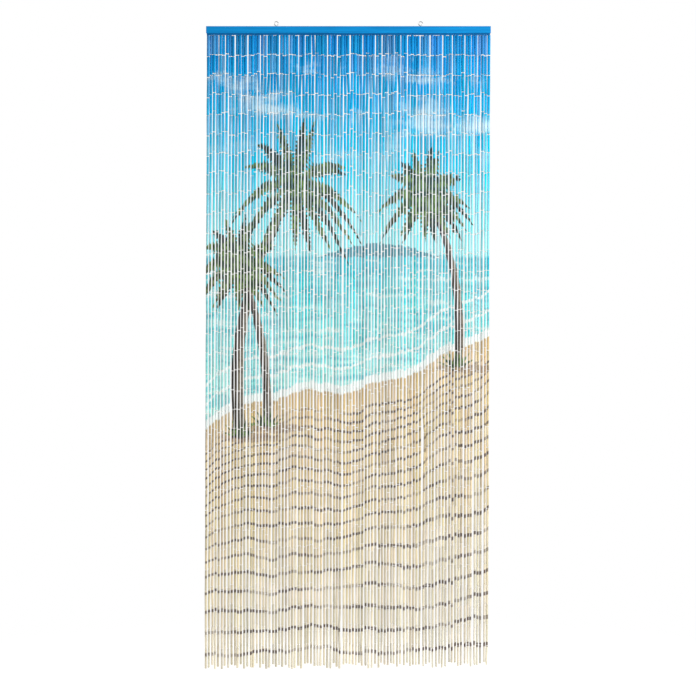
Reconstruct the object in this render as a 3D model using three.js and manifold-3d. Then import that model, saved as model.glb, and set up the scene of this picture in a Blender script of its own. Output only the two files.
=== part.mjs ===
// Door curtain of painted bamboo tubes: strands hang side by side from a painted wooden rail,
// and the rail hangs from two wire screw eyes. Millimetres, X along the rail, the front faces -Y,
// +Z up. The origin lies midway between the eyes, at the height where the hooks bear in them.

import * as THREE from 'three'
import { mergeVertices } from 'three/addons/utils/BufferGeometryUtils.js'
import Module from 'manifold-3d'

// Rail: a painted batten with softened edges
const RAIL_LENGTH = 900
const RAIL_HEIGHT = 22
const RAIL_DEPTH = 12
const RAIL_EDGE_RADIUS = 1.5
const RAIL_END_BEVEL = 0.8
const RAIL_CURVE_SEGMENTS = 3

// Screw eyes: one bent wire each, with a ring above a straight shank
const EYE_SPREAD = 456
const RING_DIAMETER = 15
const WIRE_DIAMETER = 2.4
const RING_START_DEGREES = -62
const RING_END_DEGREES = 256
const RING_POINTS = 24
const BEND_POINTS = 4
const SHANK_ABOVE_RAIL = 0.3
const SHANK_DEPTH = 12
const SHANK_POINTS = 4
const EYE_STEPS = 44
const WIRE_SIDES = 8
const PILOT_SIDES = 24

// Gap between pieces that the real curtain holds together
const SEAT_GAP = 0.3

// Strip under the rail that holds the strands' roots
const STRIP_LENGTH = 896
const STRIP_HEIGHT = 5.5
const STRIP_DEPTH = 8.4

// Strands: rows of tubes end to end, each strand a square bar with a bend at every fourth joint
const STRAND_COUNT = 89
const STRAND_PITCH = 10.1
const STRAND_SIDE = 6.4
const ROW_PITCH = 62.4
const ROW_COUNT = 32
const ROWS_PER_SECTION = 4
const SECTION_COUNT = ROW_COUNT / ROWS_PER_SECTION
const ROOT_OVERLAP = 2

// Unevenness of the hang, each the most that a strand strays to either side
const ROOT_STRAY = 1.1
const DRIFT_STRAY = 0.8
const KINK_STRAY = 0.7
const DEPTH_STRAY = 0.8
const LENGTH_STRAY = 9
const CLOSEST_SPACING = 7.6
const HANG_SEED = 90210

// All the strands hang a little askew to the left, and those at the right are a little shorter
const LEAN = -7
const SHORTER_AT_RIGHT = 6

// Heights that follow from the eyes, where the hooks bear at the top inside the rings
const wireRadius = WIRE_DIAMETER / 2
const ringRadius = RING_DIAMETER / 2 - wireRadius
const ringCentreZ = wireRadius - ringRadius
const ringEnd = pointOnRing(RING_END_DEGREES)
const bendTurn = THREE.MathUtils.degToRad(RING_END_DEGREES - 180)
const bendRadius = -ringEnd.x / (1 - Math.cos(bendTurn))
const shankTopZ = ringEnd.z - bendRadius * Math.sin(bendTurn)
const railTopZ = shankTopZ - SHANK_ABOVE_RAIL
const railCentreZ = railTopZ - RAIL_HEIGHT / 2
const stripTopZ = railTopZ - RAIL_HEIGHT - SEAT_GAP
const stripBottomZ = stripTopZ - STRIP_HEIGHT

const wasm = await Module()
wasm.setup()

// Turns a closed geometry into a solid that can be joined and cut
function solidOf(geometry) {
  const bare = geometry.clone()
  bare.deleteAttribute('normal')
  bare.deleteAttribute('uv')
  const merged = mergeVertices(bare, 1e-4)
  const mesh = new wasm.Mesh({
    numProp: 3,
    vertProperties: new Float32Array(merged.attributes.position.array),
    triVerts: new Uint32Array(merged.index.array)
  })
  return new wasm.Manifold(mesh)
}

// Turns a solid back into a geometry
function geometryOf(solid) {
  const mesh = solid.getMesh()
  const geometry = new THREE.BufferGeometry()
  geometry.setAttribute('position', new THREE.BufferAttribute(mesh.vertProperties, 3))
  geometry.setIndex(new THREE.BufferAttribute(mesh.triVerts, 1))
  geometry.computeVertexNormals()
  return geometry
}

// Repeatable draws between 0 and 1
function drawsFrom(seed) {
  let state = seed
  return () => {
    state = state * 16807 % 2147483647
    return state / 2147483647
  }
}

// A point of the ring's wire, the angle counted from +X towards +Z
function pointOnRing(degrees) {
  const angle = THREE.MathUtils.degToRad(degrees)
  return new THREE.Vector3(ringRadius * Math.cos(angle), 0, ringCentreZ + ringRadius * Math.sin(angle))
}

// The eye's wire runs round the ring, through a tight bend and down the shank
function eyeRoute() {
  const points = []
  for (let i = 0; i <= RING_POINTS; i++) {
    const share = i / RING_POINTS
    points.push(pointOnRing(THREE.MathUtils.lerp(RING_START_DEGREES, RING_END_DEGREES, share)))
  }
  for (let i = 1; i <= BEND_POINTS; i++) {
    const turnLeft = bendTurn * (1 - i / BEND_POINTS)
    const x = bendRadius * (Math.cos(turnLeft) - 1)
    points.push(new THREE.Vector3(x, 0, shankTopZ + bendRadius * Math.sin(turnLeft)))
  }
  const shankLength = SHANK_ABOVE_RAIL + SHANK_DEPTH
  for (let i = 1; i <= SHANK_POINTS; i++) {
    points.push(new THREE.Vector3(0, 0, shankTopZ - shankLength * i / SHANK_POINTS))
  }
  return new THREE.CatmullRomCurve3(points)
}

function makeEye(name, x) {
  const section = new THREE.Shape()
  section.absarc(0, 0, wireRadius, 0, 2 * Math.PI)
  const geometry = new THREE.ExtrudeGeometry(section, {
    steps: EYE_STEPS,
    curveSegments: WIRE_SIDES / 2,
    extrudePath: eyeRoute()
  })
  const steel = new THREE.MeshStandardMaterial({ color: '#c9ccce', roughness: 0.3, metalness: 1 })
  const eye = new THREE.Mesh(geometry, steel)
  eye.name = name
  eye.position.x = x
  return eye
}

// The rail's section lies in the drawing plane and its length is drawn along Z, then turned to X
function makeRail() {
  const halfHeight = RAIL_HEIGHT / 2
  const halfDepth = RAIL_DEPTH / 2
  const r = RAIL_EDGE_RADIUS
  const section = new THREE.Shape()
  section.absarc(halfHeight - r, halfDepth - r, r, 0, Math.PI / 2)
  section.absarc(r - halfHeight, halfDepth - r, r, Math.PI / 2, Math.PI)
  section.absarc(r - halfHeight, r - halfDepth, r, Math.PI, 1.5 * Math.PI)
  section.absarc(halfHeight - r, r - halfDepth, r, 1.5 * Math.PI, 2 * Math.PI)
  const batten = new THREE.ExtrudeGeometry(section, {
    depth: RAIL_LENGTH - 2 * RAIL_END_BEVEL,
    curveSegments: RAIL_CURVE_SEGMENTS,
    bevelSegments: 1,
    bevelThickness: RAIL_END_BEVEL,
    bevelSize: RAIL_END_BEVEL,
    bevelOffset: -RAIL_END_BEVEL
  })
  batten.translate(0, 0, RAIL_END_BEVEL - RAIL_LENGTH / 2)
  batten.rotateY(Math.PI / 2)
  let solid = solidOf(batten)
  for (const side of [-1, 1]) {
    solid = solid.subtract(pilotHole(side * EYE_SPREAD / 2))
  }
  const paint = new THREE.MeshStandardMaterial({ color: '#158dd2', roughness: 0.45, metalness: 0 })
  const rail = new THREE.Mesh(geometryOf(solid), paint)
  rail.name = 'rail'
  rail.position.z = railCentreZ
  return rail
}

// Blind hole in the rail's top for a screw eye's shank, in the rail's own frame
function pilotHole(x) {
  const depth = SHANK_DEPTH + SEAT_GAP
  const radius = (wireRadius + SEAT_GAP) / Math.cos(Math.PI / PILOT_SIDES)
  const hole = new THREE.CylinderGeometry(radius, radius, 2 * depth, PILOT_SIDES)
  hole.rotateX(Math.PI / 2)
  hole.translate(x, 0, RAIL_HEIGHT / 2)
  return solidOf(hole)
}

// Where every strand's bends lie: paths[strand][section], top to bottom
function strandPaths() {
  const draw = drawsFrom(HANG_SEED)
  const stray = (most) => most * (2 * draw() - 1)
  const paths = []
  for (let i = 0; i < STRAND_COUNT; i++) {
    const root = (i - (STRAND_COUNT - 1) / 2) * STRAND_PITCH + stray(ROOT_STRAY)
    const drift = stray(DRIFT_STRAY)
    const swing = stray(DEPTH_STRAY)
    const longer = stray(LENGTH_STRAY) - SHORTER_AT_RIGHT * i / (STRAND_COUNT - 1)
    const path = []
    for (let k = 0; k <= SECTION_COUNT; k++) {
      const down = k / SECTION_COUNT
      const kink = k === 0 ? 0 : stray(KINK_STRAY)
      const lean = k === 0 ? 0 : stray(DEPTH_STRAY)
      const wanted = root + (LEAN + drift) * down + kink
      const nearest = i === 0 ? wanted : paths[i - 1][k].x + CLOSEST_SPACING
      const length = ROW_PITCH * ROWS_PER_SECTION * k + (k === SECTION_COUNT ? longer : 0)
      path.push(new THREE.Vector3(Math.max(wanted, nearest), swing * down + lean, stripBottomZ - length))
    }
    path[0].z += ROOT_OVERLAP
    paths.push(path)
  }
  return paths
}

// One strand: a square bar whose rings of corners are moved onto the bends of its path
function strandGeometry(path) {
  const bar = new THREE.BoxGeometry(STRAND_SIDE, STRAND_SIDE, SECTION_COUNT, 1, 1, SECTION_COUNT)
  const corners = bar.attributes.position
  for (let v = 0; v < corners.count; v++) {
    const bend = path[Math.round(SECTION_COUNT / 2 - corners.getZ(v))]
    corners.setXYZ(v, corners.getX(v) + bend.x, corners.getY(v) + bend.y, bend.z)
  }
  return bar
}

// The strands with their roots joined into the strip
function makeStrands() {
  const strip = new THREE.BoxGeometry(STRIP_LENGTH, STRIP_DEPTH, STRIP_HEIGHT)
  strip.translate(0, 0, stripTopZ - STRIP_HEIGHT / 2)
  let solid = solidOf(strip)
  for (const path of strandPaths()) {
    solid = solid.add(solidOf(strandGeometry(path)))
  }
  const bamboo = new THREE.MeshStandardMaterial({ color: '#bcd6dc', roughness: 0.6, metalness: 0 })
  const strands = new THREE.Mesh(geometryOf(solid), bamboo)
  strands.name = 'strands'
  return strands
}

const curtain = new THREE.Group()
curtain.add(makeRail())
curtain.add(makeStrands())
curtain.add(makeEye('eye_left', -EYE_SPREAD / 2))
curtain.add(makeEye('eye_right', EYE_SPREAD / 2))

export default curtain
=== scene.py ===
"""Looks of the bamboo tube door curtain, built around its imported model. Metres, front faces -Y."""

import math
from collections import namedtuple

import bmesh
import bpy
import numpy as np
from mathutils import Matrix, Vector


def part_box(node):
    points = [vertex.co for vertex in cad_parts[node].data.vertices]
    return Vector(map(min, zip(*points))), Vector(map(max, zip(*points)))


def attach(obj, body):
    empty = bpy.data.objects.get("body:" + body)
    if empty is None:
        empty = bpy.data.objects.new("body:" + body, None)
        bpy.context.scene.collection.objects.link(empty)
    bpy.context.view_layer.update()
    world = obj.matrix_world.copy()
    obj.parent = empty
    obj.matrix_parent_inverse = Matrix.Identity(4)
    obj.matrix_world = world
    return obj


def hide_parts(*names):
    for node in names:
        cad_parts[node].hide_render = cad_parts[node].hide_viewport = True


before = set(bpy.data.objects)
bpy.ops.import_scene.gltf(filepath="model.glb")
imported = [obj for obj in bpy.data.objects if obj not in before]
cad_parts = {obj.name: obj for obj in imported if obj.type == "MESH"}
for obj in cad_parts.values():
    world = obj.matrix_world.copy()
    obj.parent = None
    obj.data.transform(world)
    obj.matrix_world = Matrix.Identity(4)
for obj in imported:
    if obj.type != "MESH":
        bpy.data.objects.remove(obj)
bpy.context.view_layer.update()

MM = 0.001

# Photo: its side in pixels, and where the rail's middle, top edge and width lie in it
PHOTO_SIDE_PX = 696
RAIL_MIDDLE_PX = 348.45
RAIL_TOP_PX = 26.3
RAIL_WIDTH_PX = 284.6

# Camera: far off in front, for a flat view like the photo's
CAMERA_DISTANCE = 8
SENSOR_WIDTH_MM = 36

# Strands, as the model has them
STRAND_COUNT = 89
STRAND_PITCH = 10.1 * MM
ROW_COUNT = 32
STRIP_LENGTH = 896 * MM
STRIP_HEIGHT = 5.5 * MM
STRIP_DEPTH = 8.4 * MM
STRIP_BEVEL = 0.5 * MM
BEVEL_SEGMENTS = 3
ROUND_PROFILE = 0.5
ROOT_REACH = 4 * MM
LEVEL_TOLERANCE = 0.1 * MM

# Tubes: a profile turned round the strand, with a chamfer at each cut end and a bore
TUBE_DIAMETER = 7.1 * MM
TOP_TUBE_DIAMETER = 9.6 * MM
TUBE_DIAMETER_STRAY = 0.4 * MM
BORE_DIAMETER = 4.0 * MM
BORE_OFF_CENTRE = 0.3 * MM
CHAMFER = 0.35 * MM
TUBE_SWELL = 0.09 * MM
TUBE_SIDES = 10
CUT_SLANT = 0.05

# Gaps between tubes, wider at the top of the curtain than at its foot
TOP_GAP = 2.3 * MM
FOOT_GAP = 1.0 * MM
GAP_STRAY_SHARE = 0.55
ROOT_GAP = 0.8 * MM
LOOSE_ROOT_SHARE = 0.3
LOOSE_ROOT_GAP = 2.4 * MM

# Number of uppermost rows over which the tubes are thicker
TOP_ROWS = 9

# Bunches of neighbours of a like shade, in the first rows
BUNCHED_ROWS = 5
SMALLEST_BUNCH = 1
LARGEST_BUNCH = 4
ROWS_IN_BUNCH = 3
BUNCH_DEPTH = 1.4 * MM
BUNCH_OVERLAP_SHARE = 0.03
BUNCH_EVENNESS = 0.7
BUNCH_SHADE_SHARE = 0.6

# How far the joints between tubes stray from the model's bars
SIDE_STRAY = 0.45 * MM
DEPTH_STRAY = 0.5 * MM
TUBE_LENGTH_STRAY = 2.6 * MM
CROOKED_SHARE = 0.05
CROOKED_STRAY = 1.8 * MM
CLEARANCE = 0.1 * MM

# Wire loops that link the tubes, and the wire through each bore
WIRE_DIAMETER = 0.7 * MM
SMALLEST_LOOP = 1.65 * MM
LOOP_STEPS = 8
WIRE_SIDES = 4
LOOP_TWIST = math.radians(30)

# Screw eyes, with the hooks' bearing point at the part's origin
EYE_SPREAD = 456 * MM
EYE_WIRE_DIAMETER = 2.4 * MM
EYE_RING_DIAMETER = 15 * MM
EYE_START = math.radians(-62)
EYE_END = math.radians(256)
EYE_RING_STEPS = 72
EYE_BEND_STEPS = 10
EYE_SIDES = 14

# Pieces that the strands are split into
TUBE_GROUPS = 8
WIRE_GROUPS = 4

# How far the paint on a strand has slipped up or down from its neighbours'
PAINT_SLIP = 3.5 * MM
SLIPPED_SHARE = 0.06
LARGE_SLIP = 11 * MM

# Start of the draws, the same in every run
SEED = 20

strip_low, strip_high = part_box("strands")
rail_low, rail_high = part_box("rail")
strip_bottom = strip_high.z - STRIP_HEIGHT
rng = np.random.default_rng(SEED)


def stray(most, shape):
    """Even draws to either side of zero."""
    return rng.uniform(-most, most, shape)


# Colours in materials


def linear(red, green, blue):
    """A colour given as it looks on screen, 0 to 255, in the linear values that shaders take."""
    shares = np.array((red, green, blue)) / 255
    return (*np.where(shares < 0.04045, shares / 12.92, ((shares + 0.055) / 1.055) ** 2.4), 1)


class Term:
    """A number worked out in a material: arithmetic on terms adds Math nodes to its tree."""

    def __init__(self, tree, socket):
        self.tree = tree
        self.socket = socket

    def math(self, operation, *others):
        return math_node(self.tree, operation, self, *others)

    def __add__(self, other):
        return self.math("ADD", other)

    __radd__ = __add__

    def __sub__(self, other):
        return self.math("SUBTRACT", other)

    def __rsub__(self, other):
        return math_node(self.tree, "SUBTRACT", other, self)

    def __mul__(self, other):
        return self.math("MULTIPLY", other)

    __rmul__ = __mul__

    def __truediv__(self, other):
        return self.math("DIVIDE", other)

    def __abs__(self):
        return self.math("ABSOLUTE")


def feed(tree, socket, value):
    """Links a term or a socket to an input, or sets the input to a plain value."""
    if isinstance(value, Term):
        tree.links.new(value.socket, socket)
    elif isinstance(value, bpy.types.NodeSocket):
        tree.links.new(value, socket)
    else:
        socket.default_value = value


def math_node(tree, operation, *values):
    node = tree.nodes.new("ShaderNodeMath")
    node.operation = operation
    for place, value in enumerate(values):
        feed(tree, node.inputs[place], value)
    return Term(tree, node.outputs[0])


def between(share, low, high):
    """low where the share is 0 and high where it is 1."""
    return share * (high - low) + low


def smooth(term, low, high):
    """0 up to low, 1 from high on and a soft step between; with low above high it falls instead."""
    node = term.tree.nodes.new("ShaderNodeMapRange")
    node.interpolation_type = "SMOOTHSTEP"
    feed(term.tree, node.inputs["Value"], term)
    node.inputs["From Min"].default_value = low
    node.inputs["From Max"].default_value = high
    return Term(term.tree, node.outputs["Result"])


def place_node(tree, x, y, z):
    node = tree.nodes.new("ShaderNodeCombineXYZ")
    for socket, value in zip(node.inputs, (x, y, z)):
        feed(tree, socket, value)
    return node.outputs[0]


def noise(tree, x, y, z, detail=2.0, roughness=0.5):
    """Smooth noise about one unit across, from about 0.25 to 0.75."""
    node = tree.nodes.new("ShaderNodeTexNoise")
    node.inputs["Scale"].default_value = 1
    node.inputs["Detail"].default_value = detail
    node.inputs["Roughness"].default_value = roughness
    feed(tree, node.inputs["Vector"], place_node(tree, x, y, z))
    return Term(tree, node.outputs["Fac"])


def mix(tree, share, base, top):
    """base where share is 0 and top where it is 1."""
    node = tree.nodes.new("ShaderNodeMix")
    node.data_type = "RGBA"
    inputs = [s for s in node.inputs if s.enabled]
    for socket, value in zip(inputs, (share, base, top)):
        feed(tree, socket, value)
    return next(s for s in node.outputs if s.enabled)


def ramp(term, stops, reach):
    """A run of colours: stops are (distance, colour), and the ramp ends at reach."""
    node = term.tree.nodes.new("ShaderNodeValToRGB")
    feed(term.tree, node.inputs[0], term / reach)
    elements = node.color_ramp.elements
    for n, (distance, colour) in enumerate(stops):
        element = elements[n] if n < len(elements) else elements.new(1)
        element.position = distance / reach
        element.color = linear(*colour)
    return node.outputs[0]


def attribute(tree, name):
    """The three numbers of a vertex attribute."""
    node = tree.nodes.new("ShaderNodeAttribute")
    node.attribute_name = name
    parts = tree.nodes.new("ShaderNodeSeparateXYZ")
    tree.links.new(node.outputs["Vector"], parts.inputs[0])
    return [Term(tree, socket) for socket in parts.outputs]


def object_place(tree):
    """Where a point lies in the part's frame, in metres."""
    node = tree.nodes.new("ShaderNodeTexCoord")
    parts = tree.nodes.new("ShaderNodeSeparateXYZ")
    tree.links.new(node.outputs["Object"], parts.inputs[0])
    return [Term(tree, socket) for socket in parts.outputs]


def new_material(name):
    """A material with its tree and its one shader."""
    material = bpy.data.materials.new(name)
    material.use_nodes = True
    tree = material.node_tree
    return material, tree, tree.nodes["Principled BSDF"]


def add_bump(tree, shader, height, distance, strength):
    node = tree.nodes.new("ShaderNodeBump")
    node.inputs["Distance"].default_value = distance
    node.inputs["Strength"].default_value = strength
    feed(tree, node.inputs["Height"], height)
    tree.links.new(node.outputs[0], shader.inputs["Normal"])


# Painted seaside design: across is metres to the right of the middle, depth is metres below the strip

DESIGN_REACH = 2.05
HORIZON = 0.70
SKY_AND_SEA = (
    (0.00, (0, 130, 212)),
    (0.10, (14, 152, 226)),
    (0.24, (52, 178, 232)),
    (0.42, (98, 206, 236)),
    (0.58, (144, 226, 238)),
    (0.695, (168, 236, 242)),
    (0.705, (104, 198, 214)),
    (0.80, (122, 212, 222)),
    (1.00, (150, 226, 228)),
    (1.20, (176, 236, 230)),
)
# Sand, by how far it lies below the shoreline
SAND_REACH = 1.0
SAND = (
    (0.00, (200, 181, 139)),
    (0.05, (214, 195, 149)),
    (0.35, (216, 202, 163)),
    (0.65, (217, 208, 180)),
    (1.00, (208, 203, 186)),
)
CLOUD = (214, 236, 244)
HILL = (92, 152, 168)
SEA_SHADE = (78, 168, 190)
FOAM = (238, 246, 242)
DRIFT = (240, 228, 206)
RIPPLE = (96, 84, 74)
TRUNK_DARK = (62, 58, 54)
TRUNK_LIGHT = (134, 128, 112)
FROND_SHADE = (40, 52, 42)
FROND_DARK = (58, 76, 52)
FROND_LIGHT = (112, 138, 84)
GROUND_SHADE = (150, 130, 104)

# Noise in the design: changes per metre across and down, then its layer, detail and roughness
Grain = namedtuple("Grain", "across down layer detail roughness", defaults=(2, 0.5))
CLOUD_GRAIN = Grain(2.6, 9, 0, 5, 0.6)
SWELL_GRAIN = Grain(6, 55, 3, 3, 0.55)
SHORE_GRAIN = Grain(30, 30, 7)
DRIFT_GRAIN = Grain(5, 14, 11, 3, 0.6)
WARP_GRAIN = Grain(7, 3, 5)
STRENGTH_GRAIN = Grain(9, 21, 2)
LEAF_GRAIN = Grain(45, 45, 9, 1)
RING_GRAIN = Grain(40, 9, 1)
BARK_GRAIN = Grain(60, 9, 4)

# In the design and the finishes, a STEP is the pair of values between which something sets in,
# a SHARE is how much it covers, and a RATIO is a factor on what it names

# Clouds, by their noise, in a band of the sky
CLOUD_STEP = (0.50, 0.66)
CLOUD_TOP_STEP = (0.04, 0.12)
CLOUD_FOOT_STEP = (0.46, 0.28)
CLOUD_SHARE = 0.85

# Hills as (middle, half width, height), with their upper and lower edges
HILLS = ((0.10, 0.075, 0.040), (0.0, 0.06, 0.024), (0.20, 0.06, 0.022))
HILL_STEP = (0.0, 0.003)
HILL_FOOT_STEP = (-0.002, 0.0)

# Swell of the sea, shaded where its noise is high and foaming where it is low
SEA_STEP = (HORIZON, HORIZON + 0.01)
SWELL_SHADE_STEP = (0.50, 0.62)
SWELL_FOAM_STEP = (0.44, 0.36)
SWELL_SHARE = 0.5

# Shoreline: its depth in the middle, its rise to the right, and its waves as (rate, start, reach)
SHORE_DEPTH = 1.10
SHORE_RISE = 0.30
SHORE_WAVES = ((8, 0.6, 0.030), (29, 2, 0.009))
SHORE_ROUGHNESS = 0.02
SHORE_STEP = (-0.001, 0.001)
SHORE_FOAM_LIFT = 0.008
SHORE_FOAM_STEP = (0.016, 0.011)
SHORE_FOAM_SHARE = 0.92

# Breakers, as heights above the shoreline
BREAKERS = (0.075, 0.135)
BREAKER_STEP = (0.006, 0.003)
BREAKER_SHARE = 0.75

# Pale drifts in the sand
DRIFT_STEP = (0.5, 0.7)
DRIFT_SHARE = 0.35

# Ripples lie FIRST_RIPPLE_SPACING apart at the shore and further apart down the beach, where they level out
FIRST_RIPPLE_SPACING = 0.019
RIPPLE_GROWTH = 0.30
RIPPLE_HALF_WIDTH = 0.0034
RIPPLE_THICKENING = 0.0024
RIPPLE_STEP = (-0.0008, 0.0008)
RIPPLE_TOP_STEP = (0.05, 0.08)
RIPPLE_STRENGTH_STEP = (0.36, 0.56)
RIPPLE_SHARES = (0.45, 0.95)
RIPPLE_LEVEL_STEP = (2.1, 1.0)
RIPPLE_WAVE_RATES = (13, 8)
RIPPLE_WAVE_REACH = 0.010
RIPPLE_WARP_REACH = 0.05

# Palms: foot and crown as (across, depth), then the bow and half width of the trunk and the fronds' reach
Palm = namedtuple("Palm", "foot crown bow half_width reach")
PALMS = (
    Palm((-0.335, 1.27), (-0.165, 0.47), -0.075, 0.021, 0.215),
    Palm((-0.255, 1.24), (-0.345, 0.72), 0.030, 0.016, 0.150),
    Palm((0.345, 1.05), (0.245, 0.50), 0.045, 0.015, 0.150),
)

# Shade at a palm's foot
SHADE_SHIFT = (0.03, 0.004)
SHADE_REACH = (0.11, 0.016)
SHADE_STEP = (1.0, 0.6)
SHADE_SHARE = 0.75

# Trunks narrow upwards, flare at the foot, and are ringed and lit from the right
TRUNK_TAPER = 0.42
TRUNK_FLARE = 0.5
TRUNK_FLARE_STEP = (0.08, -0.02)
TRUNK_STEP = (-0.001, 0.001)
TRUNK_FOOT_STEP = (-0.01, 0.0)
TRUNK_TOP_STEP = (1.02, 1.0)
RINGS_PER_METRE = 28
RING_STEP = (0.0, 0.35)
RING_SHARE = 0.55
BARK_ROUGHNESS = 1.2
BARK_LIGHT_STEP = (0.1, 1.3)

# Fronds in front of the trunk, fronds behind it, and the tuft at its foot
Spray = namedtuple("Spray", "centre count turned reach width droop dark light")
FROND_COUNT = 11
FROND_TURN = -0.785
FROND_DROOP = 3.4
FROND_WIDTH = 0.017
BACK_FROND_COUNT = 9
BACK_FROND_TURN = -0.2
BACK_DROOP_RATIO = 1.35
BACK_REACH_RATIO = 1.05
TUFT_COUNT = 14
TUFT_TURN = 0.7
TUFT_REACH = 0.06
TUFT_WIDTH = 0.005
TUFT_DROOP = -2.5
TUFT_GROUND_STEP = (0.0, 0.004)

# Leaflets along a frond, whose outline is a stretch of a sine wave
LEAFLET_SPACING = 0.013
LEAFLET_RATIOS = (0.55, 1.0)
FROND_REACH_RATIOS = (0.8, 1.2)
FROND_PHASES = (0.2, 0.2 + 0.94 * math.pi)
FROND_STEP = (-0.0012, 0.0012)
FROND_TIP_STEP = (1.0, 0.97)
LEAF_LIGHT_STEP = (0.4, 0.62)


def grained(tree, across, depth, grain):
    """Noise over the design."""
    place = (across * grain.across, grain.layer, depth * grain.down)
    return noise(tree, *place, grain.detail, grain.roughness)


def sky_and_sea(tree, across, depth):
    """A sky with clouds, and hills on the horizon of a sea with a light swell."""
    colour = ramp(depth, SKY_AND_SEA, DESIGN_REACH)
    cloud = smooth(grained(tree, across, depth, CLOUD_GRAIN), *CLOUD_STEP)
    cloud_band = smooth(depth, *CLOUD_TOP_STEP) * smooth(depth, *CLOUD_FOOT_STEP)
    colour = mix(tree, cloud * cloud_band * CLOUD_SHARE, colour, linear(*CLOUD))
    hills = 0.0
    for middle, width, height in HILLS:
        off = (across - middle) / width
        hills = (off * off * -1).math("EXPONENT") * height + hills
    above = HORIZON - depth
    hill = smooth(hills - above, *HILL_STEP) * smooth(above, *HILL_FOOT_STEP)
    colour = mix(tree, hill, colour, linear(*HILL))
    swell = grained(tree, across, depth, SWELL_GRAIN)
    on_sea = smooth(depth, *SEA_STEP) * SWELL_SHARE
    colour = mix(tree, smooth(swell, *SWELL_SHADE_STEP) * on_sea, colour, linear(*SEA_SHADE))
    return mix(tree, smooth(swell, *SWELL_FOAM_STEP) * on_sea, colour, linear(*FOAM))


def rippled_sand(tree, across, depth, below):
    """Sand with pale drifts and dark ripple lines; below is how far a place lies under the shoreline."""
    sand = ramp(below, SAND, SAND_REACH)
    drifts = smooth(grained(tree, across, depth, DRIFT_GRAIN), *DRIFT_STEP)
    sand = mix(tree, drifts * DRIFT_SHARE, sand, linear(*DRIFT))
    flat = depth - SHORE_DEPTH
    level = flat + (below - flat) * smooth(depth, *RIPPLE_LEVEL_STEP)
    wave = across * RIPPLE_WAVE_RATES[0] + depth * RIPPLE_WAVE_RATES[1]
    warped = level + wave.math("SINE") * RIPPLE_WAVE_REACH
    warped = warped + grained(tree, across, depth, WARP_GRAIN) * RIPPLE_WARP_REACH
    count = RIPPLE_GROWTH / FIRST_RIPPLE_SPACING
    phase = (warped / RIPPLE_GROWTH + 1).math("LOGARITHM", math.e) * count
    spacing = (warped + RIPPLE_GROWTH) / count
    off = abs(phase.math("FRACT") - 0.5) * spacing
    half_width = below * RIPPLE_THICKENING + RIPPLE_HALF_WIDTH
    strength = smooth(grained(tree, across, depth, STRENGTH_GRAIN), *RIPPLE_STRENGTH_STEP)
    line = smooth(half_width - off, *RIPPLE_STEP) * smooth(below, *RIPPLE_TOP_STEP)
    return mix(tree, line * between(strength, *RIPPLE_SHARES), sand, linear(*RIPPLE))


def add_beach(tree, across, depth, colour):
    """Sand under a slanting, wavy shoreline, with foam along it and breakers above it."""
    shore = SHORE_DEPTH - across * SHORE_RISE
    for rate, start, reach in SHORE_WAVES:
        shore = shore + (across * rate + start).math("SINE") * reach
    below = depth - shore
    rough = grained(tree, across, depth, SHORE_GRAIN) * SHORE_ROUGHNESS - SHORE_ROUGHNESS / 2
    for crest in BREAKERS:
        breaker = smooth(abs(below + crest + rough), *BREAKER_STEP)
        colour = mix(tree, breaker * BREAKER_SHARE, colour, linear(*FOAM))
    sand = rippled_sand(tree, across, depth, below)
    colour = mix(tree, smooth(below, *SHORE_STEP), colour, sand)
    foam = smooth(abs(below + SHORE_FOAM_LIFT + rough), *SHORE_FOAM_STEP)
    return mix(tree, foam * SHORE_FOAM_SHARE, colour, linear(*FOAM))


def add_spray(tree, across, depth, colour, spray):
    """Leaves that spread from one point, pointed at both ends and bowed down or up by the droop."""
    side = across - spray.centre[0]
    rise = spray.centre[1] - depth + side * side * spray.droop
    away = (side * side + rise * rise).math("SQRT")
    turned = rise.math("ARCTAN2", side) * (spray.count / 2) + spray.turned
    ray = abs(turned.math("SINE")) * away * (2 / spray.count)
    patches = grained(tree, across, depth, LEAF_GRAIN)
    leaflets = between(abs((away / LEAFLET_SPACING).math("FRACT") - 0.5) * 2, *LEAFLET_RATIOS)
    along = away / (between(patches, *FROND_REACH_RATIOS) * spray.reach)
    half = between(along, *FROND_PHASES).math("SINE") * leaflets * spray.width
    mask = smooth(half - ray, *FROND_STEP) * smooth(along, *FROND_TIP_STEP)
    if spray.droop < 0:
        mask = mask * smooth(rise, *TUFT_GROUND_STEP)
    green = mix(tree, smooth(patches, *LEAF_LIGHT_STEP), linear(*spray.dark), linear(*spray.light))
    return mix(tree, mask, colour, green)


def add_trunk(tree, across, depth, colour, palm):
    """A leaning trunk with rings, lit from the right."""
    up = (palm.foot[1] - depth) / (palm.foot[1] - palm.crown[1])
    centre = up * (palm.crown[0] - palm.foot[0]) + palm.foot[0] + up * (1 - up) * palm.bow * 4
    flare = smooth(up, *TRUNK_FLARE_STEP) * palm.half_width * TRUNK_FLARE
    width = (1 - up * TRUNK_TAPER) * palm.half_width + flare
    off = across - centre
    rings = depth * RINGS_PER_METRE + grained(tree, across, depth, RING_GRAIN)
    rings = smooth(rings.math("FRACT"), *RING_STEP)
    lit = off / width + grained(tree, across, depth, BARK_GRAIN) * BARK_ROUGHNESS
    bark = mix(tree, smooth(lit, *BARK_LIGHT_STEP), linear(*TRUNK_DARK), linear(*TRUNK_LIGHT))
    bark = mix(tree, (1 - rings) * RING_SHARE, bark, linear(*TRUNK_DARK))
    ends = smooth(up, *TRUNK_FOOT_STEP) * smooth(up, *TRUNK_TOP_STEP)
    return mix(tree, smooth(width - abs(off), *TRUNK_STEP) * ends, colour, bark)


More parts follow.
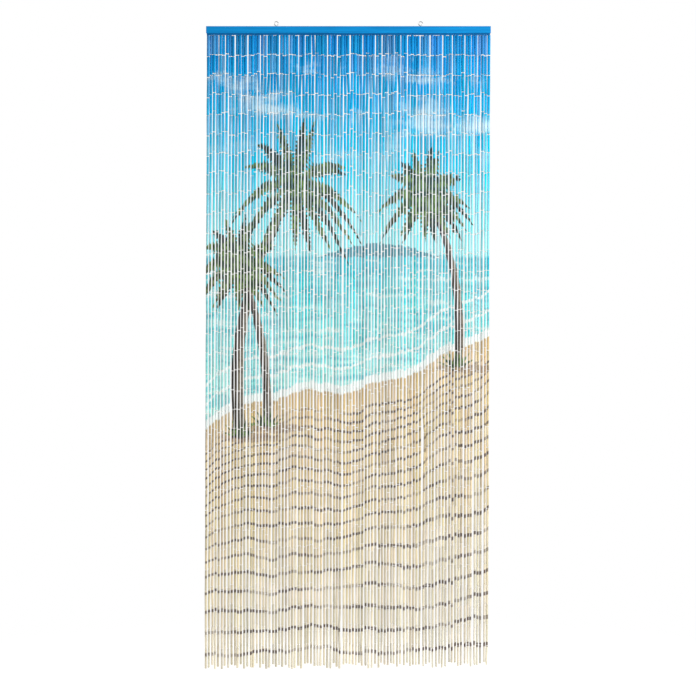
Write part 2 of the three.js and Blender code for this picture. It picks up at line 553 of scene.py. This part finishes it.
def add_palm(tree, across, depth, colour, palm):
    """A palm with its shade, a crown of drooping fronds behind and before the trunk, and a tuft."""
    back_reach = palm.reach * BACK_REACH_RATIO
    back_droop = FROND_DROOP * BACK_DROOP_RATIO
    back = (palm.crown, BACK_FROND_COUNT, BACK_FROND_TURN, back_reach, FROND_WIDTH, back_droop)
    front = (palm.crown, FROND_COUNT, FROND_TURN, palm.reach, FROND_WIDTH, FROND_DROOP)
    tuft = (palm.foot, TUFT_COUNT, TUFT_TURN, TUFT_REACH, TUFT_WIDTH, TUFT_DROOP)
    shade_x = (across - palm.foot[0] - SHADE_SHIFT[0]) / SHADE_REACH[0]
    shade_z = (depth - palm.foot[1] - SHADE_SHIFT[1]) / SHADE_REACH[1]
    shade = smooth(shade_x * shade_x + shade_z * shade_z, *SHADE_STEP)
    colour = mix(tree, shade * SHADE_SHARE, colour, linear(*GROUND_SHADE))
    colour = add_spray(tree, across, depth, colour, Spray(*back, FROND_SHADE, FROND_DARK))
    colour = add_trunk(tree, across, depth, colour, palm)
    for spray in (front, tuft):
        colour = add_spray(tree, across, depth, colour, Spray(*spray, FROND_DARK, FROND_LIGHT))
    return colour


# Finishes

# Detail and roughness of the noise in bamboo and wire, and in wood
FINE_NOISE = (3, 0.6)
WOOD_NOISE = (4, 0.6)

# Each tube's own tint: the least and most of its hue, saturation and value
HUE_RANGE = (0.479, 0.505)
SATURATION_RANGE = (0.78, 1.28)
VALUE_RANGE = (0.68, 1.20)

# Painted highlight: a pale cyan painted on the flanks of the upper tubes, standing in for light glowing at
# their sides
FLANK_HIGHLIGHT = (60, 205, 255)
FLANK_HIGHLIGHT_STEP = (0.8, 0.4)
FLANK_HIGHLIGHT_DEPTH_STEP = (0.9, 0.3)
FLANK_HIGHLIGHT_SHARE = 0.6

# Bamboo: colours, fibres and streaks as changes per metre (across, along), and where it shows
BAMBOO_DARK = (206, 178, 128)
BAMBOO_LIGHT = (236, 218, 178)
FIBRE_SHADE = (60, 62, 60)
FIBRE_RATES = (1100, 22)
STREAK_RATES = (420, 14)
BAMBOO_LIGHT_STEP = (0.35, 0.65)
FIBRE_SHADE_STEP = (0.55, 0.35)
FIBRE_SHADE_SHARE = 0.18
WORN_STEP = (0.62, 0.74)
WORN_DEPTH_STEP = (0.1, 0.6)
WORN_SHARES = (0.04, 0.18)
BACK_STEP = (-0.35, -0.95)
BACK_SHARE = 0.30
BARE_STEP = (0.2, 0.9)
OVERSPRAY_STEP = (1.0, 0.0)
OVERSPRAY_SHARE = 0.6
BAMBOO_SPECULAR = 0.1
FIBRE_RELIEF = 0.08 * MM

# Painted wood: the light and dark of each paint, and the grain as changes per metre (along, across)
RAIL_PAINT = ((0, 146, 218), (0, 126, 194))
# The strip's blue is the rail's blue made darker: painted shade under the rail
STRIP_SHADED_PAINT = ((0, 108, 172), (0, 84, 142))
WOOD_RATES = (7, 420)
WOOD_PATCH_RATES = (9, 60)
WOOD_STEP = (0.35, 0.62)
WOOD_PATCH_STEP = (0.55, 0.75)
WOOD_PATCH_SHARE = 0.3
WOOD_SPECULAR = 0.15
WOOD_RELIEF = 0.12 * MM
RELIEF_STRENGTH = 0.5

# Wire: its drawing marks as changes per metre (across, up)
WIRE_DARK = (176, 178, 180)
WIRE_LIGHT = (222, 222, 220)
WIRE_RATES = (2500, 900)

# Roughness of each finish, least and most over its noise
BAMBOO_ROUGHNESS = (0.36, 0.71)
BARE_ROUGHNESS = 0.2
WOOD_ROUGHNESS = (0.34, 0.64)
WIRE_ROUGHNESS = (0.18, 0.48)


def painted_bamboo():
    """Paint over bamboo: the design, each tube's own tint, a painted highlight on the upper tubes' flanks,
    grain and bare cut ends.
    """
    material, tree, shader = new_material("painted_bamboo")
    across, toward_front, depth = attribute(tree, "paint")
    lightness, hue, strength = attribute(tree, "tint")
    bare = attribute(tree, "bare")[0]
    x, y, z = object_place(tree)

    colour = sky_and_sea(tree, across, depth)
    colour = add_beach(tree, across, depth, colour)
    for palm in PALMS:
        colour = add_palm(tree, across, depth, colour, palm)

    tuned = tree.nodes.new("ShaderNodeHueSaturation")
    feed(tree, tuned.inputs["Hue"], between(hue, *HUE_RANGE))
    feed(tree, tuned.inputs["Saturation"], between(strength, *SATURATION_RANGE))
    feed(tree, tuned.inputs["Value"], between(lightness, *VALUE_RANGE))
    feed(tree, tuned.inputs["Color"], colour)
    colour = tuned.outputs[0]
    # Painted highlight: pale cyan mixed onto the flanks of the upper tubes, fading out down the curtain
    flank_highlight = smooth(toward_front, *FLANK_HIGHLIGHT_STEP) * smooth(depth, *FLANK_HIGHLIGHT_DEPTH_STEP)
    colour = mix(tree, flank_highlight * FLANK_HIGHLIGHT_SHARE, colour, linear(*FLANK_HIGHLIGHT))

    fibres = noise(tree, x * FIBRE_RATES[0], y * FIBRE_RATES[0], z * FIBRE_RATES[1], *FINE_NOISE)
    streaks = noise(tree, x * STREAK_RATES[0], y * STREAK_RATES[0], z * STREAK_RATES[1])
    bamboo = mix(tree, smooth(fibres, *BAMBOO_LIGHT_STEP), linear(*BAMBOO_DARK), linear(*BAMBOO_LIGHT))
    worn = smooth(streaks, *WORN_STEP) * between(smooth(depth, *WORN_DEPTH_STEP), *WORN_SHARES)
    thin = worn + smooth(toward_front, *BACK_STEP) * BACK_SHARE
    colour = mix(tree, thin, colour, bamboo)
    shaded = smooth(fibres, *FIBRE_SHADE_STEP) * FIBRE_SHADE_SHARE
    colour = mix(tree, shaded, colour, linear(*FIBRE_SHADE))
    overspray = smooth(depth, *OVERSPRAY_STEP) * OVERSPRAY_SHARE
    colour = mix(tree, smooth(bare, *BARE_STEP) * (1 - overspray), colour, bamboo)
    feed(tree, shader.inputs["Base Color"], colour)
    roughness = between(fibres, *BAMBOO_ROUGHNESS) + bare * BARE_ROUGHNESS
    feed(tree, shader.inputs["Roughness"], roughness)
    shader.inputs["Specular IOR Level"].default_value = BAMBOO_SPECULAR
    add_bump(tree, shader, fibres, FIBRE_RELIEF, RELIEF_STRENGTH)
    return material


def painted_wood(name, light, dark):
    """Satin paint brushed along a batten, with the grain showing through."""
    material, tree, shader = new_material(name)
    x, y, z = object_place(tree)
    grain = noise(tree, x * WOOD_RATES[0], y * WOOD_RATES[1], z * WOOD_RATES[1], *WOOD_NOISE)
    patches = noise(tree, x * WOOD_PATCH_RATES[0], y * WOOD_PATCH_RATES[1], z * WOOD_PATCH_RATES[1])
    base = mix(tree, smooth(grain, *WOOD_STEP), linear(*dark), linear(*light))
    base = mix(tree, smooth(patches, *WOOD_PATCH_STEP) * WOOD_PATCH_SHARE, base, linear(*dark))
    feed(tree, shader.inputs["Base Color"], base)
    feed(tree, shader.inputs["Roughness"], between(grain, *WOOD_ROUGHNESS))
    shader.inputs["Specular IOR Level"].default_value = WOOD_SPECULAR
    add_bump(tree, shader, grain, WOOD_RELIEF, RELIEF_STRENGTH)
    return material


def bright_wire():
    """Zinc-plated steel wire with faint drawing marks."""
    material, tree, shader = new_material("bright_wire")
    x, y, z = object_place(tree)
    marks = noise(tree, x * WIRE_RATES[0], y * WIRE_RATES[0], z * WIRE_RATES[1], *FINE_NOISE)
    feed(tree, shader.inputs["Base Color"], mix(tree, marks, linear(*WIRE_DARK), linear(*WIRE_LIGHT)))
    shader.inputs["Metallic"].default_value = 1
    feed(tree, shader.inputs["Roughness"], between(marks, *WIRE_ROUGHNESS))
    return material


# Hang of the strands, taken from the model's bars


def points_of(obj):
    """The places of an object's vertices."""
    places = np.empty(len(obj.data.vertices) * 3, np.float32)
    obj.data.vertices.foreach_get("co", places)
    return places.reshape(-1, 3).astype(float)


def centres_of_bars(corners):
    """Middle of each bar at one level; the bars stand apart, so their corners sort into fours along X."""
    ordered = corners[np.argsort(corners[:, 0], kind="stable")]
    return ordered.reshape(STRAND_COUNT, 4, 3).mean(axis=1)


def strand_bends():
    """Centres of the model's bars at each of their bends, top to bottom, as bends[level, strand]."""
    corners = np.unique(points_of(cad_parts["strands"]).round(6), axis=0)
    at_root = corners[:, 2] > strip_bottom - LEVEL_TOLERANCE
    inside = np.abs(corners[:, 1]) < ROOT_REACH
    corners = corners[~at_root | inside]
    heights, counts = np.unique(corners[:, 2].round(5), return_counts=True)
    shared = heights[counts == 4 * STRAND_COUNT][::-1]
    levels = [centres_of_bars(corners[np.abs(corners[:, 2] - z) < LEVEL_TOLERANCE]) for z in shared]
    levels.append(centres_of_bars(corners[corners[:, 2] < shared[-1] - MM]))
    return np.array(levels)


def top_share():
    """1 in the first row of tubes, falling to 0 after the uppermost rows."""
    return np.clip(1 - np.arange(ROW_COUNT) / TOP_ROWS, 0, 1)


def bunch_share():
    """1 at the first joints, falling to 0 at the end of the bunched rows."""
    return np.clip((BUNCHED_ROWS - np.arange(ROW_COUNT + 1)) / (BUNCHED_ROWS - 1), 0, 1)


def gather_bunches():
    """The number of the bunch that each joint hangs in, as bunches[strand, row]."""
    bunches = np.empty((STRAND_COUNT, ROW_COUNT + 1), int)
    for first in range(0, ROW_COUNT + 1, ROWS_IN_BUNCH):
        sizes = rng.integers(SMALLEST_BUNCH, LARGEST_BUNCH, STRAND_COUNT, endpoint=True)
        numbers = np.repeat(np.arange(STRAND_COUNT), sizes)[:STRAND_COUNT]
        bunches[:, first:first + ROWS_IN_BUNCH] = numbers[:, None]
    return bunches


def close_up(places, bunches, widths):
    """Sideways places of the joints once the strands of each bunch hide the gaps between them."""
    order = np.arange(STRAND_COUNT)
    closed = np.empty(places.shape)
    for row, numbers in enumerate(bunches.T):
        sizes = np.bincount(numbers)
        middles = np.bincount(numbers, weights=places[:, row]) / sizes
        steps = order - (np.bincount(numbers, weights=order) / sizes)[numbers]
        closed[:, row] = middles[numbers] + steps * widths[row] * (1 - BUNCH_OVERLAP_SHARE)
    return places + (closed - places) * bunch_share()


def tube_tints(bunches):
    """Draws for each tube's shade, as tints[strand, row]: its own, its strand's and its bunch's."""
    tubes = (STRAND_COUNT, ROW_COUNT, 3)
    own = (rng.random(tubes) + rng.random((STRAND_COUNT, 1, 3))) / 2
    shared = rng.random(tubes)[bunches[:, 1:], np.arange(ROW_COUNT)]
    share = (BUNCH_SHADE_SHARE * bunch_share()[1:])[:, None]
    return own * (1 - share) + shared * share


def hang_joints(radii, gaps, bunches):
    """Points midway in the gaps above and below each tube, as joints[strand, row]."""
    bends = strand_bends()
    first = strip_bottom - gaps[:, 0] / 2
    last = bends[-1, :, 2] - gaps[:, -1] / 2
    share = np.arange(ROW_COUNT + 1) / ROW_COUNT
    walk = np.cumsum(rng.normal(0, TUBE_LENGTH_STRAY, (STRAND_COUNT, ROW_COUNT + 1)), axis=1)
    walk -= walk[:, :1]
    walk -= walk[:, -1:] * share
    joints = np.empty((STRAND_COUNT, ROW_COUNT + 1, 3))
    for i in range(STRAND_COUNT):
        heights = first[i] + (last[i] - first[i]) * share + walk[i]
        for axis in (0, 1):
            joints[i, :, axis] = np.interp(-heights, -bends[:, i, 2], bends[:, i, axis])
        joints[i, :, 2] = heights
    widest = np.maximum(np.pad(radii, ((0, 0), (1, 0))), np.pad(radii, ((0, 0), (0, 1))))
    joints[:, :, 0] = close_up(joints[:, :, 0], bunches, 2 * widest.mean(axis=0))
    odd = np.arange(STRAND_COUNT)[:, None] % 2
    joints[:, :, 1] += (2 * odd - 1) * BUNCH_DEPTH * bunch_share()
    hung = (STRAND_COUNT, ROW_COUNT)
    side = SIDE_STRAY * (1 - BUNCH_EVENNESS * bunch_share()[1:])
    crooked = rng.random(hung) < CROOKED_SHARE
    joints[:, 1:, 0] += stray(1, hung) * side + crooked * stray(CROOKED_STRAY, hung)
    joints[:, 1:, 1] += stray(DEPTH_STRAY, hung)
    for i in range(1, STRAND_COUNT):
        reach = widest[i] + widest[i - 1] + CLEARANCE
        apart = joints[i, :, 1] - joints[i - 1, :, 1]
        closest = np.sqrt(reach ** 2 - apart ** 2)
        joints[i, :, 0] = np.maximum(joints[i, :, 0], joints[i - 1, :, 0] + closest)
    return joints


def joint_gaps():
    """Height of the gap at each joint, as gaps[strand, row], with the strip's first and the foot's last."""
    even = TOP_GAP + (FOOT_GAP - TOP_GAP) * np.arange(ROW_COUNT + 1) / ROW_COUNT
    gaps = even * (1 + stray(GAP_STRAY_SHARE, (STRAND_COUNT, ROW_COUNT + 1)))
    loose = rng.random(STRAND_COUNT) < LOOSE_ROOT_SHARE
    gaps[:, 0] = ROOT_GAP + loose * LOOSE_ROOT_GAP * rng.random(STRAND_COUNT)
    return gaps


# Meshes from arrays of points


def place_piece(mesh, material, node):
    """Puts a mesh on the part in a CAD node's place, in that finish."""
    mesh.materials.append(material)
    piece = bpy.data.objects.new(mesh.name, mesh)
    bpy.context.scene.collection.objects.link(piece)
    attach(piece, "root")
    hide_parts(node)
    return piece


def quad_piece(name, points, quads, smooth_faces, material, node):
    """A piece of four-sided faces."""
    mesh = bpy.data.meshes.new(name)
    mesh.vertices.add(len(points))
    mesh.vertices.foreach_set("co", points.astype(np.float32).ravel())
    mesh.loops.add(quads.size)
    mesh.loops.foreach_set("vertex_index", quads.astype(np.int32).ravel())
    mesh.polygons.add(len(quads))
    mesh.polygons.foreach_set("loop_start", np.arange(0, quads.size, 4, dtype=np.int32))
    mesh.polygons.foreach_set("use_smooth", smooth_faces)
    mesh.update(calc_edges=True)
    return place_piece(mesh, material, node)


def ring_quads(rings, sides):
    """Faces between consecutive rings of one turned body, each ring a run of that many points."""
    quads = []
    for near, far in zip(rings, rings[1:]):
        for k in range(sides):
            after = (k + 1) % sides
            quads.append((near * sides + k, far * sides + k, far * sides + after, near * sides + after))
    return np.array(quads)


def cap_quads(ring, sides, turned):
    """Faces that close one ring of an even number of points."""
    start = ring * sides
    quads = np.array([(k, k + 1, sides - 2 - k, sides - 1 - k) for k in range(sides // 2 - 1)]) + start
    return quads[:, ::-1] if turned else quads


def repeated(quads, count, size):
    """The faces of one body of that many points, repeated for each of the bodies."""
    shifts = np.arange(count)[:, None, None] * size
    return (quads[None] + shifts).reshape(-1, 4)


def point_attribute(piece, name, kind, values):
    """Stores values on a piece's vertices for its material."""
    layer = piece.data.attributes.new(name, kind, "POINT")
    field = "vector" if kind == "FLOAT_VECTOR" else "value"
    layer.data.foreach_set(field, values.astype(np.float32).ravel())


# Tubes

# Rings of the profile, from the bore's upper rim round the outside; the bore closes it
RINGS = ("bore_top", "face_top", "shoulder_top", "waist", "shoulder_foot", "face_foot", "bore_foot")
# Where each ring lies along the unrolled tube, and the end of the bore after the last
MAP_SHARES = (0.02, 0.055, 0.07, 0.5, 0.93, 0.945, 0.98, 0.998)
MAP_MARGIN = 0.04


def tube_points(tops, feet, radii):
    """Points of every tube between its top and its foot, as points[tube, ring, side]."""
    count = len(tops)
    angles = np.arange(TUBE_SIDES) * 2 * math.pi / TUBE_SIDES
    angles = angles + rng.uniform(0, 2 * math.pi, (count, 1))
    across = np.stack([np.cos(angles), np.sin(angles), np.zeros_like(angles)], axis=2)
    bore = np.full(count, BORE_DIAMETER / 2)
    taper = stray(TUBE_SWELL, count)
    upper = radii + taper
    lower = radii - taper
    waist = radii + stray(TUBE_SWELL, count)
    ring_radii = (bore, upper - CHAMFER, upper, waist, lower, lower - CHAMFER, bore)
    chamfer_share = CHAMFER / (tops[:, 2] - feet[:, 2])
    falls = (0, 0, chamfer_share, 0.5, 1 - chamfer_share, 1, 1)
    bore_shift = np.zeros((count, 1, 3))
    bore_shift[:, 0, :2] = stray(BORE_OFF_CENTRE, (count, 2))
    slants = stray(CUT_SLANT, (2, count, 2))
    points = np.empty((count, len(RINGS), TUBE_SIDES, 3))
    for n, name in enumerate(RINGS):
        fall = np.broadcast_to(falls[n], count)[:, None]
        centre = (tops * (1 - fall) + feet * fall)[:, None, :]
        offset = across * ring_radii[n][:, None, None]
        if name.startswith("bore"):
            offset = offset + bore_shift
        points[:, n] = centre + offset
        if name != "waist":
            slant = slants[0] if name.endswith("top") else slants[1]
            points[:, n, :, 2] += (offset[..., :2] * slant[:, None, :]).sum(axis=2)
    return points


def unroll(piece, columns, count):
    """A map that unrolls each tube in a cell of its own, its length along U: strands across, rows up."""
    rounds = MAP_MARGIN + np.arange(TUBE_SIDES + 1) / TUBE_SIDES * (1 - 2 * MAP_MARGIN)
    corners = []
    for near, far in zip(MAP_SHARES, MAP_SHARES[1:]):
        for here, after in zip(rounds, rounds[1:]):
            corners.append(((near, here), (far, here), (far, after), (near, after)))
    cell = np.array(corners).reshape(-1, 2)
    tube = np.arange(count)
    shifts = np.stack([tube // ROW_COUNT, tube % ROW_COUNT], axis=1)
    places = (cell[None] + shifts[:, None, :]) / np.array([columns, ROW_COUNT])
    layer = piece.data.uv_layers.new(name="OFBake")
    layer.uv.foreach_set("vector", places.astype(np.float32).ravel())


def tube_ends(joints, gaps):
    """Tops and feet of the tubes between some strands' joints."""
    step = joints[:, 1:] - joints[:, :-1]
    ahead = step / np.linalg.norm(step, axis=2)[..., None]
    tops = joints[:, :-1] + ahead * gaps[:, :-1, None] / 2
    feet = joints[:, 1:] - ahead * gaps[:, 1:, None] / 2
    return tops.reshape(-1, 3), feet.reshape(-1, 3)


def make_tubes(name, joints, gaps, strands, radii, tints, slips, material):
    """The tubes of some neighbouring strands as one piece."""
    tops, feet = tube_ends(joints[strands], gaps[strands])
    count = len(tops)
    group_radii = radii[strands].ravel()
    points = tube_points(tops, feet, group_radii)
    rings = [*range(len(RINGS)), 0]
    quads = ring_quads(rings, TUBE_SIDES)
    cut_faces = [n for n, ring in enumerate(RINGS) if ring in ("bore_top", "face_foot")]
    smooth_faces = np.repeat([n not in cut_faces for n in range(len(RINGS))], TUBE_SIDES)
    piece = quad_piece(
        name,
        points.reshape(-1, 3),
        repeated(quads, count, len(RINGS) * TUBE_SIDES),
        np.tile(smooth_faces, count),
        material,
        "strands",
    )
    unroll(piece, len(strands), count)
    strand = np.repeat(strands, ROW_COUNT)[:, None, None]
    middles = ((tops + feet) / 2)[:, None, None, :]
    across = (strand - (STRAND_COUNT - 1) / 2) * STRAND_PITCH + points[..., 0] - middles[..., 0]
    toward_front = (middles[..., 1] - points[..., 1]) / group_radii[:, None, None]
    depth = strip_bottom - points[..., 2] + slips[strand]
    point_attribute(piece, "paint", "FLOAT_VECTOR", np.stack([across, toward_front, depth], axis=-1))
    tint = tints[strands].reshape(count, 1, 1, 3)
    point_attribute(piece, "tint", "FLOAT_VECTOR", np.broadcast_to(tint, points.shape))
    is_bare = np.array([ring.startswith(("bore", "face")) for ring in RINGS])
    bare = np.broadcast_to(is_bare[None, :, None], points.shape[:3])
    point_attribute(piece, "bare", "FLOAT", bare.astype(float))


# Wires


def loop_points(ends, diameters, turns):
    """Small upright wire rings with their lowest points at the ends, each turned about Z."""
    around = np.arange(LOOP_STEPS) * 2 * math.pi / LOOP_STEPS
    section = np.arange(WIRE_SIDES) * 2 * math.pi / WIRE_SIDES
    radius = WIRE_DIAMETER / 2
    reach = diameters[:, None, None] / 2 - radius + radius * np.cos(section)
    out = reach * np.cos(around)[:, None]
    rise = reach * np.sin(around)[:, None] + diameters[:, None, None] / 2
    thick = np.broadcast_to(-radius * np.sin(section), out.shape)
    cos = np.cos(turns)[:, None, None]
    sin = np.sin(turns)[:, None, None]
    x = out * cos - thick * sin
    y = out * sin + thick * cos
    return ends[:, None, None, :] + np.stack([x, y, rise], axis=-1)


def bore_wire_points(tops, feet):
    """Straight wires from loop to loop through the tubes, as points[tube, end, side]."""
    section = np.arange(WIRE_SIDES) * 2 * math.pi / WIRE_SIDES
    radius = WIRE_DIAMETER / 2
    across = np.stack([np.cos(section), np.sin(section), 0 * section], axis=1) * radius
    lift = np.array([0, 0, radius])
    return np.stack([tops + lift, feet - lift], axis=1)[:, :, None, :] + across


def make_wires(name, joints, gaps, strands, material):
    """The wire loops at the joints of some neighbouring strands, and the wires through their tubes."""
    tops, feet = tube_ends(joints[strands], gaps[strands])
    roots = joints[strands, 0].copy()
    roots[:, 2] = strip_bottom
    sizes = np.maximum(gaps[strands] / 2 + WIRE_DIAMETER, SMALLEST_LOOP)
    hanging = np.concatenate([roots, feet])
    hanging_sizes = np.concatenate([sizes[:, 0], sizes[:, 1:].ravel()])
    hanging[:, 2] -= hanging_sizes
    loops = np.concatenate([
        loop_points(hanging, hanging_sizes, stray(LOOP_TWIST, len(hanging))),
        loop_points(tops, sizes[:, :-1].ravel(), math.pi / 2 + stray(LOOP_TWIST, len(tops))),
    ])
    wires = bore_wire_points(tops, feet)
    loop_size = LOOP_STEPS * WIRE_SIDES
    wire_size = 2 * WIRE_SIDES
    loop_quads = ring_quads([*range(LOOP_STEPS), 0], WIRE_SIDES)
    caps = [cap_quads(0, WIRE_SIDES, False), cap_quads(1, WIRE_SIDES, True)]
    wire_quads = np.concatenate([ring_quads([0, 1], WIRE_SIDES), *caps])
    quads = np.concatenate([
        repeated(loop_quads, len(loops), loop_size),
        repeated(wire_quads, len(wires), wire_size) + len(loops) * loop_size,
    ])
    points = np.concatenate([loops.reshape(-1, 3), wires.reshape(-1, 3)])
    quad_piece(name, points, quads, np.ones(len(quads), bool), material, "strands")


# Strip and screw eyes


def make_strip(material):
    """The slim batten under the rail that the strands hang from."""
    mesh = bpy.data.meshes.new("strip")
    build = bmesh.new()
    bmesh.ops.create_cube(build, size=1)
    bmesh.ops.scale(build, vec=(STRIP_LENGTH, STRIP_DEPTH, STRIP_HEIGHT), verts=build.verts)
    bmesh.ops.translate(build, vec=(0, 0, strip_high.z - STRIP_HEIGHT / 2), verts=build.verts)
    bevel = {"offset": STRIP_BEVEL, "segments": BEVEL_SEGMENTS, "affect": "EDGES", "profile": ROUND_PROFILE}
    bmesh.ops.bevel(build, geom=build.edges[:], **bevel)
    build.to_mesh(mesh)
    build.free()
    place_piece(mesh, material, "strands")


def eye_route(shank_end):
    """The wire's line round the ring, through the bend and down the shank, as (x, z)."""
    ring = (EYE_RING_DIAMETER - EYE_WIRE_DIAMETER) / 2
    ring_height = EYE_WIRE_DIAMETER / 2 - ring
    angles = np.linspace(EYE_START, EYE_END, EYE_RING_STEPS + 1)
    round_ring = np.stack([ring * np.cos(angles), ring_height + ring * np.sin(angles)], axis=1)
    turn = EYE_END - math.pi
    bend = -round_ring[-1, 0] / (1 - math.cos(turn))
    left = np.linspace(turn, 0, EYE_BEND_STEPS + 1)[1:]
    bend_height = round_ring[-1, 1] - bend * math.sin(turn)
    round_bend = np.stack([bend * (np.cos(left) - 1), bend_height + bend * np.sin(left)], axis=1)
    return np.concatenate([round_ring, round_bend, [(0, shank_end)]])


def make_eye(node, x, material):
    """One screw eye of round bent wire."""
    route = eye_route(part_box(node)[0].z)
    ahead = np.gradient(route, axis=0)
    ahead /= np.linalg.norm(ahead, axis=1)[:, None]
    section = np.arange(EYE_SIDES) * 2 * math.pi / EYE_SIDES
    radius = EYE_WIRE_DIAMETER / 2
    points = np.empty((len(route), EYE_SIDES, 3))
    points[..., 0] = x + route[:, :1] - ahead[:, 1:] * radius * np.cos(section)
    points[..., 1] = radius * np.sin(section)
    points[..., 2] = route[:, 1:] + ahead[:, :1] * radius * np.cos(section)
    last = len(route) - 1
    quads = np.concatenate([
        ring_quads(range(len(route)), EYE_SIDES),
        cap_quads(0, EYE_SIDES, False),
        cap_quads(last, EYE_SIDES, True),
    ])
    smooth_faces = np.arange(len(quads)) < last * EYE_SIDES
    name = node + "_wire"
    quad_piece(name, points.reshape(-1, 3), quads, smooth_faces, material, node)


# The whole curtain

bamboo = painted_bamboo()
wire = bright_wire()
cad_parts["rail"].data.materials[0] = painted_wood("rail_paint", *RAIL_PAINT)
# The strip gets the darker blue as painted shade under the rail
make_strip(painted_wood("strip_shaded_paint", *STRIP_SHADED_PAINT))
make_eye("eye_left", -EYE_SPREAD / 2, wire)
make_eye("eye_right", EYE_SPREAD / 2, wire)

radii = (TUBE_DIAMETER + (TOP_TUBE_DIAMETER - TUBE_DIAMETER) * top_share()) / 2
radii = radii + stray(TUBE_DIAMETER_STRAY / 2, (STRAND_COUNT, ROW_COUNT))
gaps = joint_gaps()
bunches = gather_bunches()
tints = tube_tints(bunches)
joints = hang_joints(radii, gaps, bunches)
slipped = rng.random(STRAND_COUNT) < SLIPPED_SHARE
slips = stray(PAINT_SLIP, STRAND_COUNT) + slipped * stray(LARGE_SLIP, STRAND_COUNT)
all_strands = np.arange(STRAND_COUNT)
for n, strands in enumerate(np.array_split(all_strands, TUBE_GROUPS)):
    make_tubes(f"tubes_{n + 1}", joints, gaps, strands, radii, tints, slips, bamboo)
for n, strands in enumerate(np.array_split(all_strands, WIRE_GROUPS)):
    make_wires(f"wires_{n + 1}", joints, gaps, strands, wire)


# Floor, light and camera

FLOOR_RADIUS = 1.7
FLOOR_SIDES = 128
FLOOR_FADE_START = 0.5
FLOOR_GAP = 25 * MM
FLOOR_GREY = 0.95
FLOOR_ROUGHNESS = 0.9
FLOOR_GLOW = 0.62
STUDIO_LIGHT = 0.40

# Lamps that aim at the curtain's middle: place, size and power
LAMPS = (
    ("key", (2.5, -2.3, -0.3), 1.8, 110),
    ("fill", (-2.6, -4.2, 0.4), 2.5, 8),
    ("back", (-2.0, 3.6, 0.4), 2.5, 40),
)


def make_floor():
    """A pale round floor that fades into the white around it."""
    height = strip_low.z - FLOOR_GAP
    bpy.ops.mesh.primitive_circle_add(
        vertices=FLOOR_SIDES, radius=FLOOR_RADIUS, fill_type="NGON", location=(0, 0, height)
    )
    floor = bpy.context.object
    floor.name = "floor"
    material, tree, shader = new_material("pale_floor")
    shader.inputs["Base Color"].default_value = (FLOOR_GREY, FLOOR_GREY, FLOOR_GREY, 1)
    shader.inputs["Roughness"].default_value = FLOOR_ROUGHNESS
    shader.inputs["Emission Color"].default_value = (1, 1, 1, 1)
    shader.inputs["Emission Strength"].default_value = FLOOR_GLOW
    x, y = object_place(tree)[:2]
    away = (x * x + y * y).math("SQRT")
    feed(tree, shader.inputs["Alpha"], smooth(away, FLOOR_RADIUS, FLOOR_FADE_START))
    floor.data.materials.append(material)


def make_lamp(name, place, aim, size, power):
    """A soft round lamp."""
    light = bpy.data.lights.new(name, "AREA")
    light.shape = "DISK"
    light.size = size
    light.energy = power
    lamp = bpy.data.objects.new(name, light)
    lamp.location = place
    lamp.rotation_euler = (aim - lamp.location).to_track_quat("-Z", "Y").to_euler()
    bpy.context.scene.collection.objects.link(lamp)


def make_world():
    """White to the camera, and a softer even light on the object."""
    world = bpy.data.worlds.new("studio")
    bpy.context.scene.world = world
    world.use_nodes = True
    tree = world.node_tree
    seen = Term(tree, tree.nodes.new("ShaderNodeLightPath").outputs["Is Camera Ray"])
    background = tree.nodes["Background"]
    background.inputs["Color"].default_value = (1, 1, 1, 1)
    feed(tree, background.inputs["Strength"], seen * (1 - STUDIO_LIGHT) + STUDIO_LIGHT)


def make_camera():
    """A long lens square on to the curtain, which puts the rail where the photo has it."""
    scale = (rail_high.x - rail_low.x) / RAIL_WIDTH_PX
    middle_px = PHOTO_SIDE_PX / 2
    across = (middle_px - RAIL_MIDDLE_PX) * scale
    height = rail_high.z - (middle_px - RAIL_TOP_PX) * scale
    camera = bpy.data.objects.new("camera", bpy.data.cameras.new("camera"))
    camera.location = (across, -CAMERA_DISTANCE, height)
    camera.rotation_euler = (math.pi / 2, 0, 0)
    camera.data.sensor_width = SENSOR_WIDTH_MM
    camera.data.lens = SENSOR_WIDTH_MM * CAMERA_DISTANCE / (PHOTO_SIDE_PX * scale)
    bpy.context.scene.collection.objects.link(camera)
    bpy.context.scene.camera = camera


curtain_middle = (strip_low + strip_high) / 2
make_floor()
make_world()
for name, place, size, power in LAMPS:
    make_lamp(name, place, curtain_middle, size, power)
make_camera()
bpy.context.scene.view_settings.view_transform = "Standard"
